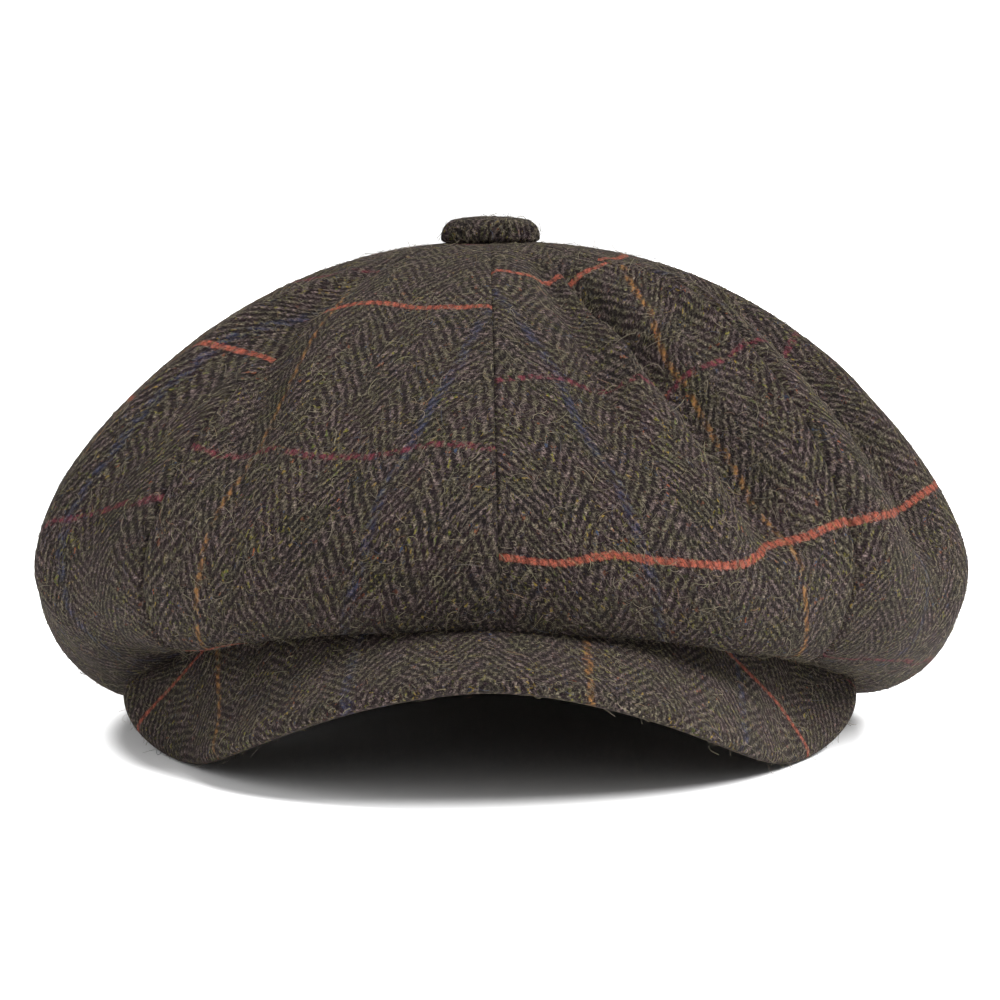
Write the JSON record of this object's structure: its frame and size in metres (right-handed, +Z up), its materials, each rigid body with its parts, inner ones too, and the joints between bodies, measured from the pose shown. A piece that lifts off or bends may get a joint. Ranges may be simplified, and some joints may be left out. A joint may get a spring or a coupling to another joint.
{
  "type": "newsboy cap",
  "caption": "Soft full-crowned herringbone tweed cap of sewn gores, with a covered button on top and a short curved brim at the front.",
  "frame": {"origin": "on the table under the middle of the cap's own box: halfway between the front of the brim and the back of the crown, and halfway across", "axes": "the cap faces -Y, +X is the wearer's left, +Z is up; it stands on the two low corners of the brim and on the back of the crown"},
  "size_m": [0.2698, 0.2902, 0.1495],
  "materials": {
    "tweed": "woolly herringbone weave with a fine overcheck",
    "brim_tweed": "woolly herringbone weave, drawn smooth over a board",
    "satin": "smooth satin",
    "twill": "fine cotton twill",
    "tape": "stiff woven tape",
    "thread": "spun thread",
    "board": "smooth board",
    "button_metal": "pressed sheet"
  },
  "bodies": {
    "root": {"crown_front_left": "tweed", "crown_front_right": "tweed", "crown_temple_left": "tweed", "crown_temple_right": "tweed", "crown_ear_left": "tweed", "crown_ear_right": "tweed", "crown_back_left": "tweed", "crown_back_right": "tweed", "lining_front_left": "satin", "lining_front_right": "satin", "lining_temple_left": "satin", "lining_temple_right": "satin", "lining_ear_left": "satin", "lining_ear_right": "satin", "lining_back_left": "satin", "lining_back_right": "satin", "head_tape": "tape", "sweatband": "twill", "sweatband_stitches": "thread", "brim_top_cover": "brim_tweed", "brim_board": "board", "brim_under_cover": "brim_tweed", "button_cover": "tweed", "button_shell": "button_metal", "button_back": "button_metal", "button_shank": "button_metal", "button_washer": "button_metal"}
  },
  "joints": []
}
